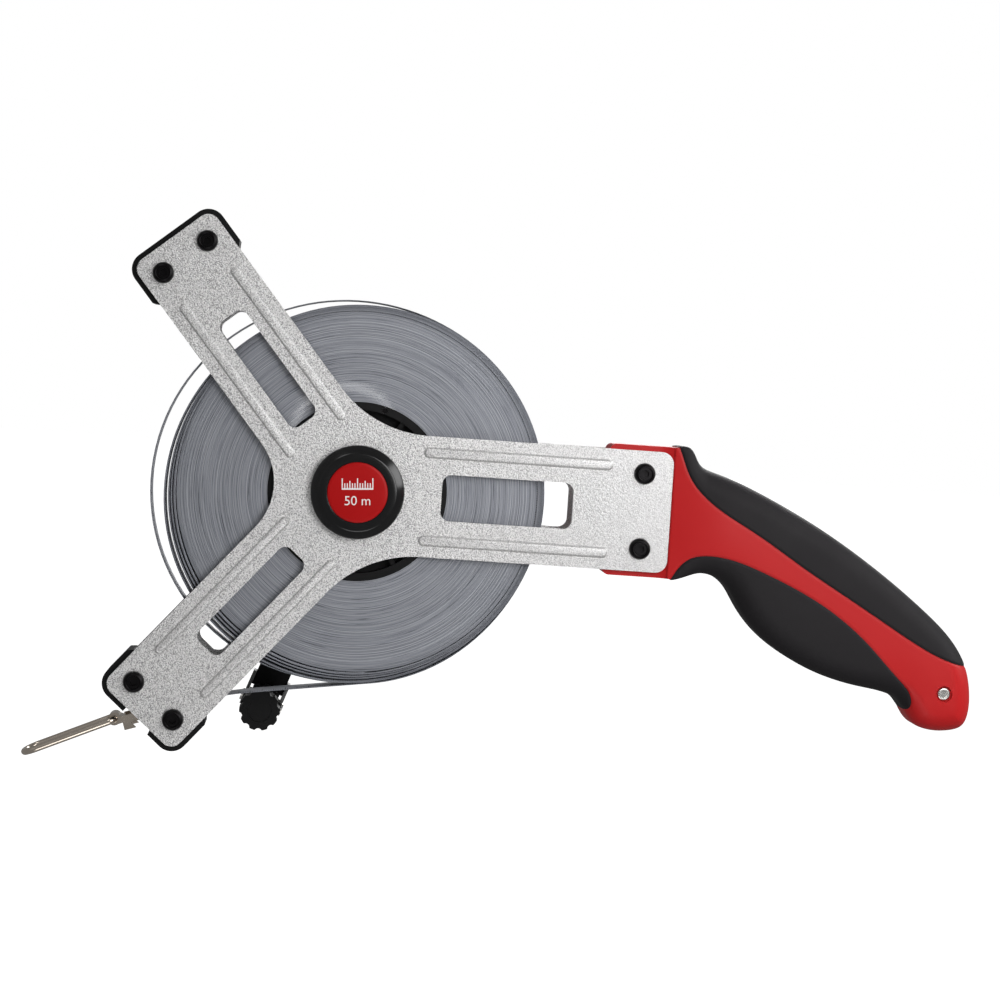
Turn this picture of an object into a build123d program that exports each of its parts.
from build123d import *
import os
from math import cos, pi, radians, sin

# Surveyor tape reel: two three-armed plates hold a drum of steel tape, and one arm carries the handle.
# Millimetres. X runs along the handle arm, Z is up, Y is depth with the front towards -Y.
# The origin is the centre of the hub cap's front face, on the drum's axis.

os.makedirs("parts", exist_ok=True)

# Depths along Y
PLATE_THICKNESS = 2.0
PLATE_GAP = 17.0
FRONT_FACE = 6.5
FRONT_INNER = FRONT_FACE + PLATE_THICKNESS
REAR_INNER = FRONT_INNER + PLATE_GAP
REAR_FACE = REAR_INNER + PLATE_THICKNESS
MIDDLE = (FRONT_INNER + REAR_INNER) / 2
TAPE_WIDTH = 13.0
TAPE_FRONT, TAPE_REAR = MIDDLE - TAPE_WIDTH / 2, MIDDLE + TAPE_WIDTH / 2

# Plates
HANDLE_ARM, UPPER_ARM, MOUTH_ARM = 0.0, 130.1, 229.6
WIDE_ARM, NARROW_ARM = 51.8, 41.4
WIDE_LENGTH, NARROW_LENGTH = 134.6, 134.0
TIP_RADIUS = 5.2
HANDLE_FILLET, BACK_FILLET = 50.6, 27.5
BEAD_HEIGHT = 0.9
ARMS = [
    # direction, length, width, slot's start, end, width and corner, bead's offset, start, end and width
    (HANDLE_ARM, WIDE_LENGTH, WIDE_ARM, (36.0, 92.4, 19.9, 3.9), (18.8, 27.4, 108.5, 4.4)),
    (UPPER_ARM, NARROW_LENGTH, NARROW_ARM, (37.1, 92.7, 13.6, 3.8), (13.4, 28.6, 108.5, 3.8)),
    (MOUTH_ARM, NARROW_LENGTH, NARROW_ARM, (37.1, 92.7, 13.6, 3.8), (13.4, 28.6, 108.5, 3.8)),
]

# Screws through the plates
SCREW_RADIUS, SCREW_HOLE_RADIUS = 2.0, 2.2
SCREW_HEAD_RADIUS, SCREW_HEAD_HEIGHT = 4.6, 2.7
NUT_ACROSS_FLATS, NUT_HEIGHT = 8.0, 3.2
NARROW_SCREWS = (124.0, 11.55)
HANDLE_SCREWS = (122.4, 16.1)

# End spacers
SPACER_START, SPACER_END, SPACER_PROUD, SPACER_CORNER = 114.5, 136.4, 2.3, 7.5
MOUTH_UPPER_FACE, MOUTH_LOWER_FACE = -6.1, 8.3

# Hub and drum
CAP_RADIUS, CAP_FLAT_RADIUS, BADGE_RADIUS, BADGE_DEPTH = 20.0, 16.5, 12.9, 0.8
SHAFT_RADIUS, RUNNING_GAP = 5.0, 0.05
BUSH_RADIUS, BUSH_FLANGE_RADIUS = 8.0, 12.0
CLIP_DEPTHS = (3.9, 29.2)
DRUM_RADIUS, COIL_INNER, COIL_OUTER = 38.4, 39.1, 80.2

# Loose tape: one slack turn round the coil, and the straight run to the mouth
TAPE_THICKNESS = 0.3
SLACK_RADIUS, SLACK_SWELL = 80.4, 8.1
SLACK_START, SLACK_SPAN = 58.0, 248.0
LEAD_RADIUS, LEAD_ANGLE = 82.4, 276.6
LEAD_BEND = (-48.3, -89.9)
LEAD_DIRECTION = 198.0
LEAD_LENGTH = 43.2
PULL_TRAVEL = 35.0

# Crank and knob
CRANK_ANGLE, CRANK_RADIUS, CRANK_WIDTH, CRANK_THICKNESS = 250.2, 105.2, 14.7, 3.0
CRANK_HUB_FACE, CRANK_TIP_FACE, CRANK_TIP = 30.5, 55.5, 99.3
PIVOT_DEPTH = 57.0
EAR_RADIUS, EAR_INNER, EAR_OUTER, EAR_START = 4.5, 7.45, 8.85, 93.0
RIVET_PLACES = (71.0, 82.0)
KNOB_RADIUS, KNOB_FRONT, KNOB_REAR, KNOB_LOBES = 8.9, 29.5, 52.0, 10
STEM_RADIUS = 3.0

# End ring
RING_WIRE, RING_WIDTH, RING_LENGTH, RING_DIRECTION = 1.45, 13.6, 41.0, 204.0
EYE_ALONG, EYE_ABOVE, EYE_RADIUS, EYE_HALF_WIDTH = 7.4, 1.4, 2.8, 4.0

# Handle
HANDLE_FRONT, HANDLE_REAR = 2.0, 32.0
HANDLE_START = 136.6
TONGUE_START, TONGUE_HALF_HEIGHT = 107.0, 28.2
HANDLE_ROUNDING = 4.0
HANDLE_SCREW_PLACE = (257.2, -69.4)


def slab(sketch, front, back):
    """A sketch drawn in X and Z, made solid between two depths."""
    return extrude(Plane.XZ.offset(-back) * sketch, amount=back - front)


def disc(place, radius, front, back):
    return slab(Pos(*place) * Circle(radius), front, back)


def turned(profile):
    """A profile of radius and depth, turned about the Y axis."""
    return revolve(make_face(Polyline(*profile, close=True)), Axis.Y)


def at(place):
    """A move in X and Z."""
    return Pos(place[0], 0, place[1])


def on_arm(angle):
    """A turn about Y that carries +X onto an arm."""
    return Rot(0, -angle, 0)


def arm_point(angle, along, across):
    a = radians(angle)
    return (along * cos(a) - across * sin(a), along * sin(a) + across * cos(a))


def polar(radius, angle):
    return (radius * cos(radians(angle)), radius * sin(radians(angle)))


def one_solid(shape):
    """The largest solid of a cut, without the loose scraps."""
    return max(shape.solids(), key=lambda s: s.volume)


def save(name, shape):
    shape.label = name
    export_step(shape, f"parts/{name}.step")


def screw_places():
    narrow = [
        arm_point(angle, NARROW_SCREWS[0], side * NARROW_SCREWS[1])
        for angle in (UPPER_ARM, MOUTH_ARM)
        for side in (-1, 1)
    ]
    return narrow + [(HANDLE_SCREWS[0], side * HANDLE_SCREWS[1]) for side in (-1, 1)]


def drilled(shape):
    for place in screw_places():
        shape -= disc(place, SCREW_HOLE_RADIUS, FRONT_FACE - 30, REAR_FACE + 30)
    return shape


# ---------------------------------------------------------------- plates

def plate_outline():
    outline = Sketch()
    for angle, length, width, _, _ in ARMS:
        outline += Rot(0, 0, angle) * Pos(length / 2, 0) * Rectangle(length, width)
    tips = [v for v in outline.vertices() if Vector(*v).length > NARROW_LENGTH]
    outline = fillet(tips, TIP_RADIUS)
    inner = [v for v in outline.vertices() if Vector(*v).length < NARROW_LENGTH / 2]
    outline = fillet([v for v in inner if v.X > 0], HANDLE_FILLET)
    inner = [v for v in outline.vertices() if abs(v.Y) < 1.0 and v.X < 0]
    return fillet(inner, BACK_FILLET)


def slots():
    cut = Sketch()
    for angle, _, _, (start, end, width, corner), _ in ARMS:
        window = RectangleRounded(end - start, width, corner)
        cut += Rot(0, 0, angle) * Pos((start + end) / 2, 0) * window
    return cut


def bead(offset, start, end, width, face, outward):
    """A raised rib: the part of a round bar that stands out of the plate's face."""
    radius = (width**2 / 4 + BEAD_HEIGHT**2) / (2 * BEAD_HEIGHT)
    depth = face - outward * (radius - BEAD_HEIGHT)
    length = end - start - width
    bar = Rot(0, 90, 0) * Cylinder(radius, length) + Pos(length / 2, 0, 0) * Sphere(radius)
    bar += Pos(-length / 2, 0, 0) * Sphere(radius)
    bar = Pos((start + end) / 2, depth, offset) * bar
    keep = Pos((start + end) / 2, face + outward * 4.5, offset) * Box(end - start + 20, 10, width + 4)
    return bar & keep


def plate(front, back, face, outward):
    shape = slab(plate_outline() - slots() - Circle(BUSH_RADIUS + RUNNING_GAP), front, back)
    for angle, _, _, _, (offset, start, end, width) in ARMS:
        for side in (-1, 1):
            shape += on_arm(angle) * bead(side * offset, start, end, width, face, outward)
    return drilled(shape)


# ---------------------------------------------------------------- end spacers

def spacer(angle, low, high):
    """A block between the plates at an arm's end, from one side of the arm to the other."""
    half = NARROW_ARM / 2 + SPACER_PROUD
    outline = Pos((SPACER_START + SPACER_END) / 2, 0) * Rectangle(SPACER_END - SPACER_START, 2 * half)
    ends = outline.vertices().sort_by(Axis.X)[-2:]
    outline = fillet(ends, SPACER_CORNER)
    starts = outline.vertices().sort_by(Axis.X)[:2]
    outline = chamfer(starts, 2.0)
    span = Pos((SPACER_START + SPACER_END) / 2, (low + high) / 2)
    outline = outline & (span * Rectangle(SPACER_END - SPACER_START + 4, high - low))
    return drilled(slab(Rot(0, 0, angle) * outline, FRONT_INNER, REAR_INNER))


def along_lead(along, above):
    """A point beside the tape's straight run, measured from where the run leaves the mouth."""
    start = Vector(*LEAD_BEND) + Vector(*polar(LEAD_LENGTH, LEAD_DIRECTION))
    point = start + Vector(*polar(along, LEAD_DIRECTION)) + Vector(*polar(above, LEAD_DIRECTION - 90))
    return (point.X, point.Y)


def lead_box(start, end, low, high, front=TAPE_FRONT, back=TAPE_REAR):
    """A block that follows the tape's straight run."""
    corners = [along_lead(*p) for p in ((start, low), (end, low), (end, high), (start, high))]
    return slab(make_face(Polyline(*corners, close=True)), front, back)


# ---------------------------------------------------------------- hub

def hub_cap():
    cap = turned([
        (0, 0), (CAP_FLAT_RADIUS, 0), (CAP_RADIUS, 3.2), (CAP_RADIUS, FRONT_FACE),
        (15.0, FRONT_FACE), (15.0, 2.4), (0, 2.4),
    ])
    return cap - disc((0, 0), BADGE_RADIUS, 0, BADGE_DEPTH)


def bush(face, inner, outward):
    """A flanged sleeve in a plate; the shaft runs in it."""
    flange = face + outward * 1.6
    low, high = sorted((inner - outward * 0.9, face))
    shape = disc((0, 0), BUSH_RADIUS, low, high)
    shape += disc((0, 0), BUSH_FLANGE_RADIUS, *sorted((face, flange)))
    return shape - disc((0, 0), SHAFT_RADIUS + RUNNING_GAP, low - 5, high + 5)


def drum_core():
    rim = Circle(DRUM_RADIUS) - Circle(DRUM_RADIUS - 3.4)
    shape = slab(rim, TAPE_FRONT - 0.4, TAPE_REAR + 0.4)
    shape += disc((0, 0), 10.0, TAPE_FRONT - 0.4, TAPE_REAR + 0.4)
    web = Circle(DRUM_RADIUS - 2)
    for i in range(6):
        web -= Pos(*polar(22.5, 60 * i + 30)) * Circle(6.5)
    shape += slab(web, MIDDLE - 1.5, MIDDLE + 1.5)
    for i in range(6):
        shape += on_arm(60 * i) * Pos(22, MIDDLE, 0) * Box(28, TAPE_WIDTH - 1, 2.0)
    shape -= disc((0, 0), SHAFT_RADIUS + 0.02, TAPE_FRONT - 2, TAPE_REAR + 2)
    return shape - disc(polar(DRUM_RADIUS - 1.8, 75), 1.25, TAPE_FRONT - 2, TAPE_REAR + 2)


def drum_shaft():
    shape = disc((0, 0), SHAFT_RADIUS, 3.0, 30.4)
    shape += on_arm(CRANK_ANGLE) * slab(Rectangle(7.0, 7.0), 30.0, 33.2)
    for depth in CLIP_DEPTHS:
        shape -= slab(Circle(SHAFT_RADIUS + 1) - Circle(SHAFT_RADIUS - 0.8), depth, depth + 0.9)
    return shape - disc((0, 0), 2.1, 22.0, 34.0)


def shaft_clips():
    """Two spring clips in the shaft's grooves, each with a gap."""
    clips = []
    for depth in CLIP_DEPTHS:
        ring = Circle(SHAFT_RADIUS + 2.2) - Circle(SHAFT_RADIUS - 0.75)
        ring -= Pos(0, -SHAFT_RADIUS - 1) * Rectangle(5, 6)
        clips.append(slab(ring, depth + 0.05, depth + 0.85))
    return Compound(children=clips)


# ---------------------------------------------------------------- tape

def slack_radius(angle):
    """Radius of the loose turn's middle line; it swells out on the side away from the handle."""
    turn = angle - 360
    if SLACK_START < turn < SLACK_START + SLACK_SPAN:
        return SLACK_RADIUS + SLACK_SWELL * sin(pi * (turn - SLACK_START) / SLACK_SPAN) ** 2
    settle = max(0.0, 1 - (angle - LEAD_ANGLE) / 60)
    return SLACK_RADIUS + (LEAD_RADIUS - SLACK_RADIUS) * settle**2 * (3 - 2 * settle)


def slack_lead():
    """The tape from the coil, once loosely round it, and straight out to the mouth."""
    angles = [LEAD_ANGLE + i * 12.0 for i in range(31)]
    half = TAPE_THICKNESS / 2
    bend, mouth = Vector(*LEAD_BEND), Vector(*along_lead(-6.5, 0))
    first = Vector(*polar(LEAD_RADIUS, LEAD_ANGLE))

    def side(offset):
        turn = [polar(slack_radius(a) + offset, a) for a in angles]
        near = first + Vector(*polar(offset, LEAD_ANGLE))
        corner = bend + Vector(*polar(offset, (LEAD_ANGLE + LEAD_DIRECTION + 90) / 2))
        tip = mouth + Vector(*polar(offset, LEAD_DIRECTION + 90))
        return [(tip.X, tip.Y), (corner.X, corner.Y), (near.X, near.Y)], turn

    run_out, turn_out = side(half)
    run_in, turn_in = side(-half)
    straight = make_face(Polyline(*run_out, *reversed(run_in), close=True))
    edges = [Spline(*turn_out), Line(turn_out[-1], turn_in[-1]), Spline(*reversed(turn_in))]
    edges.append(Line(turn_in[0], turn_out[0]))
    return slab(straight, TAPE_FRONT, TAPE_REAR) + slab(make_face(edges), TAPE_FRONT, TAPE_REAR)


def end_clip():
    """Folded sheet over the tape's end, with two cheeks that stop at the mouth and a rolled eye."""
    eye = along_lead(EYE_ALONG, EYE_ABOVE)
    shape = lead_box(-5.0, 3.9, -0.95, 0.55, MIDDLE - 7, MIDDLE + 7)
    web = [along_lead(*p) for p in ((3.0, -0.95), (EYE_ALONG, -1.3), (EYE_ALONG, 4.0), (3.0, 1.4))]
    shape += slab(make_face(Polyline(*web, close=True)), MIDDLE - EYE_HALF_WIDTH, MIDDLE + EYE_HALF_WIDTH)
    shape += disc(eye, EYE_RADIUS, MIDDLE - EYE_HALF_WIDTH, MIDDLE + EYE_HALF_WIDTH)
    corners = ((-2.6, -0.95), (-2.6, 2.1), (3.9, 2.1), (3.9, -4.0), (-1.2, -4.0), (0.5, -1.2))
    cheek = make_face(Polyline(*[along_lead(*p) for p in corners], close=True))
    for face in (MIDDLE - 7, MIDDLE + 6.1):
        shape += slab(cheek, face, face + 0.9)
    shape += lead_box(2.9, 3.9, -4.0, 0.55, MIDDLE - 7, MIDDLE + 7)
    shape -= disc(eye, RING_WIRE + RUNNING_GAP, MIDDLE - 8, MIDDLE + 8)
    shape -= lead_box(-6.0, 2.0, -0.6, -0.2)
    return shape - rivet_bars(1.25, 6)


def rivet_bars(radius, length, above=-0.2):
    """Two short bars across the tape, beside each other near its end."""
    bars = []
    for depth in (MIDDLE - 3.5, MIDDLE + 3.5):
        x, z = along_lead(-2.2, above)
        bars.append(Pos(x, depth, z) * Rot(0, 180 - LEAD_DIRECTION, 0) * Cylinder(radius, length))
    return Compound(children=bars)


def clip_rivets():
    """Rivets through the clip and the tape, headed on both faces."""
    rivets = []
    heads = zip(rivet_bars(1.9, 0.5, 0.82), rivet_bars(1.9, 0.5, -1.22))
    for shank, (top, bottom) in zip(rivet_bars(1.2, 1.9), heads):
        rivets.append(shank + top + bottom)
    return Compound(children=rivets)


def end_ring():
    """A closed wire loop, long in its own direction and seen edge-on from the front."""
    half = RING_WIDTH / 2
    corner = half - 0.6
    places = ((0, 0, 0), (0, half, 0), (RING_LENGTH, half, 0), (RING_LENGTH, 0, 0))
    loop = FilletPolyline(*places, radius=[2.4, corner])
    wire = sweep(Plane(origin=(0, 0, 0), z_dir=(0, 1, 0)) * Circle(RING_WIRE), path=loop)
    wire += mirror(wire, about=Plane.XZ)
    eye = along_lead(EYE_ALONG, EYE_ABOVE)
    return Pos(eye[0], MIDDLE, eye[1]) * on_arm(RING_DIRECTION) * wire


# ---------------------------------------------------------------- fasteners

def button_screw(place, length, head_face, hole_depth=1.6):
    """A dome-headed socket screw; the head stands in front of head_face."""
    head = turned([
        (0, -SCREW_HEAD_HEIGHT), (2.6, -SCREW_HEAD_HEIGHT), (3.9, -SCREW_HEAD_HEIGHT + 0.7),
        (SCREW_HEAD_RADIUS, -0.7), (SCREW_HEAD_RADIUS, 0), (0, 0),
    ])
    shape = head + disc((0, 0), SCREW_RADIUS, -0.1, length)
    socket = slab(RegularPolygon(1.7, 6), -SCREW_HEAD_HEIGHT - 1, -SCREW_HEAD_HEIGHT + hole_depth)
    return Pos(place[0], head_face, place[1]) * (shape - socket)


def nut(place, face):
    shape = slab(hexagon(NUT_ACROSS_FLATS), 0, NUT_HEIGHT)
    shape -= disc((0, 0), SCREW_RADIUS + RUNNING_GAP, -1, NUT_HEIGHT + 1)
    return Pos(place[0], face, place[1]) * shape


# ---------------------------------------------------------------- crank

def crank_arm():
    """A cranked strap: close to the rear plate at the hub, standing off at its tip."""
    low, high, t = CRANK_HUB_FACE, CRANK_TIP_FACE, CRANK_THICKNESS
    side = Polyline(
        (0, low), (20, low), (54, high), (CRANK_TIP, high), (CRANK_TIP, high + t), (52.6, high + t),
        (18.6, low + t), (0, low + t), close=True,
    )
    shape = Pos(0, 0, -CRANK_WIDTH / 2) * extrude(make_face(side), amount=CRANK_WIDTH)
    shape += disc((0, 0), 11.0, low, low + t)
    shape -= slab(Rectangle(7.1, 7.1), low - 1, low + t + 1)
    for along in RIVET_PLACES:
        shape -= disc((along, 0), 1.55, high - 1, high + t + 1)
    return on_arm(CRANK_ANGLE) * shape


def crank_fork():
    """A bent bracket behind the strap's tip, with an ear either side of the knob's stem."""
    face, thickness = CRANK_TIP_FACE + CRANK_THICKNESS, 1.5
    shape = Pos(0, face + thickness / 2, 0) * (
        Pos((66 + CRANK_TIP) / 2, 0, 0) * Box(CRANK_TIP - 66, thickness, CRANK_WIDTH - 0.6)
        + Pos((EAR_START + CRANK_TIP) / 2, 0, 0) * Box(CRANK_TIP - EAR_START, thickness, 2 * EAR_OUTER)
    )
    front = PIVOT_DEPTH - EAR_RADIUS
    height = face + thickness - front
    for side in (-1, 1):
        middle = side * (EAR_INNER + EAR_OUTER) / 2
        ear = Pos((EAR_START + CRANK_RADIUS) / 2, front + height / 2, middle)
        shape += ear * Box(CRANK_RADIUS - EAR_START, height, EAR_OUTER - EAR_INNER)
        shape += Pos(CRANK_RADIUS, PIVOT_DEPTH, middle) * Cylinder(EAR_RADIUS, EAR_OUTER - EAR_INNER)
    shape -= Pos(CRANK_RADIUS, PIVOT_DEPTH, 0) * Cylinder(2.0, 40)
    for along in RIVET_PLACES:
        shape -= disc((along, 0), 1.55, face - 1, face + thickness + 1)
    return on_arm(CRANK_ANGLE) * shape


def fork_rivets():
    rivets = []
    for along in RIVET_PLACES:
        shape = disc((along, 0), 1.5, CRANK_TIP_FACE - 0.1, CRANK_TIP_FACE + CRANK_THICKNESS + 1.6)
        for low in (CRANK_TIP_FACE - 0.9, CRANK_TIP_FACE + CRANK_THICKNESS + 1.5):
            shape += disc((along, 0), 2.8, low, low + 0.9)
        rivets.append(on_arm(CRANK_ANGLE) * shape)
    return Compound(children=rivets)


def fork_pin():
    pin = Cylinder(1.98, 2 * EAR_OUTER + 0.4)
    for side in (-1, 1):
        pin += Pos(0, 0, side * (EAR_OUTER + 0.45)) * Cylinder(2.9, 0.9)
    return on_arm(CRANK_ANGLE) * Pos(CRANK_RADIUS, PIVOT_DEPTH, 0) * pin


def knob_stem():
    shape = Pos(0, PIVOT_DEPTH, 0) * Cylinder(4.2, 2 * EAR_INNER - 0.4)
    shape += disc((0, 0), STEM_RADIUS + 1.2, KNOB_REAR + 0.3, PIVOT_DEPTH)
    shape += disc((0, 0), STEM_RADIUS, KNOB_FRONT + 3.5, PIVOT_DEPTH)
    shape -= slab(Circle(STEM_RADIUS + 1) - Circle(STEM_RADIUS - 0.7), KNOB_FRONT + 4.4, KNOB_FRONT + 5.3)
    shape -= Pos(0, PIVOT_DEPTH, 0) * Cylinder(1.98 + RUNNING_GAP, 40)
    return on_arm(CRANK_ANGLE) * Pos(CRANK_RADIUS, 0, 0) * shape


def knob_retainer():
    ring = Circle(STEM_RADIUS + 1.6) - Circle(STEM_RADIUS - 0.65)
    ring -= Pos(0, -STEM_RADIUS) * Rectangle(3, 5)
    return at(polar(CRANK_RADIUS, CRANK_ANGLE)) * slab(ring, KNOB_FRONT + 4.45, KNOB_FRONT + 5.25)


def crank_knob():
    """A grip with finger flutes; it turns on the stem."""
    outline = Circle(KNOB_RADIUS)
    for i in range(KNOB_LOBES):
        outline -= Pos(*polar(KNOB_RADIUS + 0.75, 360 * (i + 0.5) / KNOB_LOBES)) * Circle(1.75)
    shape = slab(outline, KNOB_FRONT, KNOB_FRONT + 7)
    shape += slab(Circle(KNOB_RADIUS - 1.2), KNOB_FRONT + 7, KNOB_REAR - 5)
    shape += slab(outline, KNOB_REAR - 5, KNOB_REAR)
    shape -= disc((0, 0), STEM_RADIUS + RUNNING_GAP, KNOB_FRONT - 1, KNOB_REAR + 1)
    shape -= disc((0, 0), 5.2, KNOB_FRONT - 1, KNOB_FRONT + 6.2)
    return at(polar(CRANK_RADIUS, CRANK_ANGLE)) * shape


# ---------------------------------------------------------------- handle

HANDLE_EDGE = [
    # the back, from the plates to the heel
    (HANDLE_START, 28.6), (142.5, 27.6), (146.2, 21.9), (154.0, 18.2), (177.0, 9.4), (200.5, -2.4),
    (224.5, -17.2), (248.5, -35.0), (263.0, -49.2),
    # the heel and its toe
    (268.4, -59.0), (270.6, -69.0), (270.6, -77.0), (268.0, -83.6), (261.8, -86.0), (252.5, -86.0),
    (246.5, -83.6), (242.6, -78.6), (238.5, -73.6), (232.0, -71.0),
    # the finger side, back to the plates
    (222.0, -69.4), (199.3, -63.3), (187.5, -57.4), (175.5, -48.6), (166.5, -37.6), (160.0, -28.8),
    (150.5, -25.2), (143.0, -27.0), (HANDLE_START, -28.6),
]
UPPER_GRIP_EDGE = [
    (135.0, 32.0), (138.6, 23.5), (142.0, 15.8), (149.5, 7.2), (170.0, -5.4), (193.5, -19.8),
    (217.0, -33.4), (240.0, -46.8), (253.0, -53.4), (262.0, -56.4), (276.0, -57.6),
]
LOWER_GRIP_EDGE = [
    (135.5, -31.0), (138.0, -25.6), (143.5, -19.2), (154.0, -17.1), (176.5, -22.9), (199.5, -33.4),
    (223.5, -50.8), (237.4, -64.6), (243.6, -73.0), (243.4, -77.0), (238.5, -78.5), (233.0, -79.0),
]


def handle_body():
    """The front half of the handle's body, rounded along its outer rim."""
    outline = make_face([Spline(*HANDLE_EDGE), Line(HANDLE_EDGE[-1], HANDLE_EDGE[0])])
    shape = slab(outline, HANDLE_FRONT, MIDDLE)
    return fillet(shape.faces().sort_by(Axis.Y)[0].edges(), HANDLE_ROUNDING)


def tongue():
    """The front half of the flat tongue that the plates are screwed to."""
    length = HANDLE_START + 5 - TONGUE_START
    outline = Pos(TONGUE_START + length / 2, 0) * Rectangle(length, 2 * TONGUE_HALF_HEIGHT)
    outline = fillet(outline.vertices().sort_by(Axis.X)[:2], 3.0)
    return slab(outline, FRONT_INNER, MIDDLE)


def grip_area(edge, beyond):
    """The area on the soft grip's side of its boundary."""
    return make_face([Spline(*edge), Polyline(edge[-1], *beyond, edge[0])])


UPPER_GRIP_AREA = grip_area(UPPER_GRIP_EDGE, [(300, -56), (300, 60), (135.0, 60)])
LOWER_GRIP_AREA = grip_area(LOWER_GRIP_EDGE, [(200, -110), (120, -110), (120, -31)])


def hexagon(across_flats):
    return RegularPolygon(across_flats / 2, 6, major_radius=False)


def handle_screw(gap=0.0):
    """A countersunk screw through the handle's heel; the gap makes its hole."""
    head = [(0, 0.6 - 6 * gap), (2.9 + gap, 0.6 - 6 * gap), (2.9 + gap, 1.4), (1.5 + gap, 2.8)]
    screw = turned(head + [(1.5 + gap, 27.6 + 10 * gap), (0, 27.6 + 10 * gap)])
    return at(HANDLE_SCREW_PLACE) * Pos(0, HANDLE_FRONT, 0) * screw


def front_half():
    """The front shell without its holes, and its two soft grips."""
    body = handle_body()
    shell, grips = body + tongue(), []
    for area in (UPPER_GRIP_AREA, LOWER_GRIP_AREA):
        grip = slab(area, HANDLE_FRONT - 1, MIDDLE + 1)
        grips.append(one_solid(body & grip))
        shell -= grip
    return one_solid(shell), grips


def handle_holes(shell):
    pocket = slab(hexagon(5.6), HANDLE_REAR - 5.2, HANDLE_REAR + 1)
    return drilled(shell) - handle_screw(0.1) - at(HANDLE_SCREW_PLACE) * pocket


def mirrored(shape):
    """The rear half's copy of a front piece."""
    return mirror(shape, about=Plane.XZ.offset(-MIDDLE))


# ---------------------------------------------------------------- build

save("front_plate", plate(FRONT_FACE, FRONT_INNER, FRONT_FACE, -1))
save("rear_plate", plate(REAR_INNER, REAR_FACE, REAR_FACE, 1))

side = NARROW_ARM / 2 + SPACER_PROUD
save("upper_end_spacer", spacer(UPPER_ARM, -side - 1, side + 1))
save("mouth_spacer_upper", spacer(MOUTH_ARM, -side - 1, MOUTH_UPPER_FACE))
lower_spacer = spacer(MOUTH_ARM, MOUTH_LOWER_FACE, side + 1)
guide_cut = lead_box(-70, 30, -1.5, 30, FRONT_INNER - 1, REAR_INNER + 1)
save("mouth_spacer_lower", one_solid(lower_spacer - guide_cut))

save("front_hub_cap", hub_cap())
save("hub_badge", disc((0, 0), BADGE_RADIUS - 0.05, 0, BADGE_DEPTH))
save("front_bush", bush(FRONT_FACE, FRONT_INNER, -1))
save("rear_bush", bush(REAR_FACE, REAR_INNER, 1))
save("drum_core", drum_core())
save("drum_shaft", drum_shaft())
save("shaft_clips", shaft_clips())
save("tape_anchor_pin", disc(polar(DRUM_RADIUS - 1.8, 75), 1.2, TAPE_FRONT, TAPE_REAR))
save("tape_coil", slab(Circle(COIL_OUTER) - Circle(COIL_INNER), TAPE_FRONT, TAPE_REAR))

save("tape_slack_lead", slack_lead())
save("tape_drawn_strip", lead_box(-41.5, 1.8, -0.55, -0.25) - rivet_bars(1.25, 6))
save("end_clip", end_clip())
save("clip_rivets", clip_rivets())
save("end_ring", end_ring())

screw_length = REAR_FACE + NUT_HEIGHT - 0.2 - FRONT_FACE
save("frame_screws", Compound(children=[button_screw(p, screw_length, FRONT_FACE) for p in screw_places()]))
save("frame_nuts", Compound(children=[nut(p, REAR_FACE) for p in screw_places()]))

save("crank_arm", crank_arm())
save("crank_fork", crank_fork())
save("fork_rivets", fork_rivets())
save("fork_pin", fork_pin())
washer_face = CRANK_HUB_FACE + CRANK_THICKNESS
washer = slab(Circle(7.0) - Circle(2.2), washer_face, washer_face + 1.2)
save("crank_washer", washer)
save("crank_screw", Rot(180, 0, 0) * button_screw((0, 0), 11.5, -washer_face - 1.2))
save("knob_stem", knob_stem())
save("knob_retainer", knob_retainer())
save("crank_knob", crank_knob())
save("knob_cap", disc(polar(CRANK_RADIUS, CRANK_ANGLE), 5.15, KNOB_FRONT + 0.4, KNOB_FRONT + 2.0))

shell, (upper_grip, lower_grip) = front_half()
save("handle_front_shell", handle_holes(shell))
save("handle_rear_shell", handle_holes(mirrored(shell)))
save("grip_upper_front", upper_grip)
save("grip_lower_front", lower_grip)
save("grip_upper_rear", mirrored(upper_grip))
save("grip_lower_rear", mirrored(lower_grip))

save("handle_screw", handle_screw())
heel_nut = slab(hexagon(5.5) - Circle(1.55), HANDLE_REAR - 5.1, HANDLE_REAR - 2.6)
save("handle_nut", at(HANDLE_SCREW_PLACE) * heel_nut)
